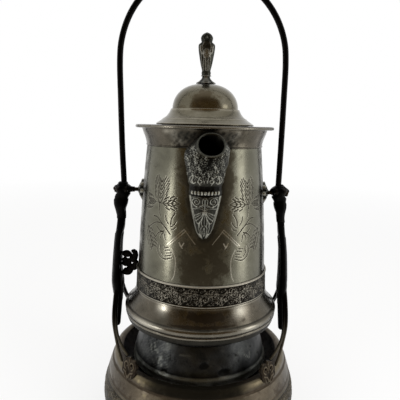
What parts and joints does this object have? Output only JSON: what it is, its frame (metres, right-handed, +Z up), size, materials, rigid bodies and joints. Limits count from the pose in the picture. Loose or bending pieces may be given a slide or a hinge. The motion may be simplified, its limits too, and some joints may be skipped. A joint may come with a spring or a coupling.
{
  "type": "tilting water pitcher on stand",
  "caption": "Covered metal water pitcher with front spout and rear handle, hung on trunnions between forked arms over a drip bowl on a round base, with a carrying bail.",
  "frame": {"origin": "centre of the object's footprint, on the surface it stands on", "axes": "+Z up, the spout points to -Y and the handle to +Y, the trunnion axis runs along X"},
  "size_m": [0.228, 0.228, 0.5066],
  "materials": {
    "base_metal": "worn silver plate over white metal, brass showing at the edges",
    "base_frieze_metal": "rolled ornamental strip, tarnished in the hollows",
    "bowl_metal": "dark tarnished silver plate",
    "dark_casting": "white-metal casting, nearly black with tarnish",
    "dark_rod": "drawn rod, nearly black with tarnish",
    "screw_metal": "tarnished turned brass",
    "pitcher_plate": "engraved silver plate, warm grey with tarnish",
    "band_metal": "rolled ornamental strip, tarnished in the hollows",
    "liner_metal": "dull inner vessel",
    "spout_casting": "oxidised casting, lighter on the high parts",
    "lid_plate": "polished silver plate, warm grey with tarnish",
    "finial_casting": "oxidised casting, lighter on the high parts"
  },
  "bodies": {
    "stand": {"base_foot_ring": "base_metal", "base_shell": "base_metal", "base_frieze_band": "base_frieze_metal", "well_pan": "base_metal", "drip_bowl": "bowl_metal", "right_arm": "dark_casting", "left_arm": "dark_casting", "right_front_foot": "dark_casting", "right_rear_foot": "dark_casting", "left_rear_foot": "dark_casting", "left_front_foot": "dark_casting", "right_front_rivet": "dark_casting", "right_rear_rivet": "dark_casting", "left_rear_rivet": "dark_casting", "left_front_rivet": "dark_casting", "right_trunnion_screw": "screw_metal", "left_trunnion_screw": "screw_metal", "bail": "dark_rod", "side_scroll_bracket": "dark_casting"},
    "pitcher": {"pitcher_body": "pitcher_plate", "collar_and_lip": "pitcher_plate", "bottom_plate": "pitcher_plate", "liner": "liner_metal", "spout_strainer": "liner_metal", "body_band": "band_metal", "foot_moulding": "pitcher_plate", "spout": "spout_casting", "right_trunnion_boss": "pitcher_plate", "left_trunnion_boss": "pitcher_plate", "handle": "spout_casting", "handle_upper_mount": "spout_casting", "handle_lower_mount": "spout_casting", "hinge_fixed_leaf": "pitcher_plate", "hinge_pin": "screw_metal"},
    "lid": {"lid": "lid_plate", "hinge_moving_leaf": "lid_plate", "finial_foot": "finial_casting", "finial_figure": "finial_casting", "finial_screw": "screw_metal"}
  },
  "joints": [
    {"name": "pitcher_swing", "type": "hinge", "parent": "stand", "child": "pitcher", "pos_m": [0, 0, 0.2695], "axis": [1, 0, 0], "range_deg": [-25, 85]},
    {"name": "lid_hinge", "type": "hinge", "parent": "pitcher", "child": "lid", "pos_m": [0, 0.062, 0.3472], "axis": [-1, 0, 0], "range_deg": [0, 100]}
  ]
}
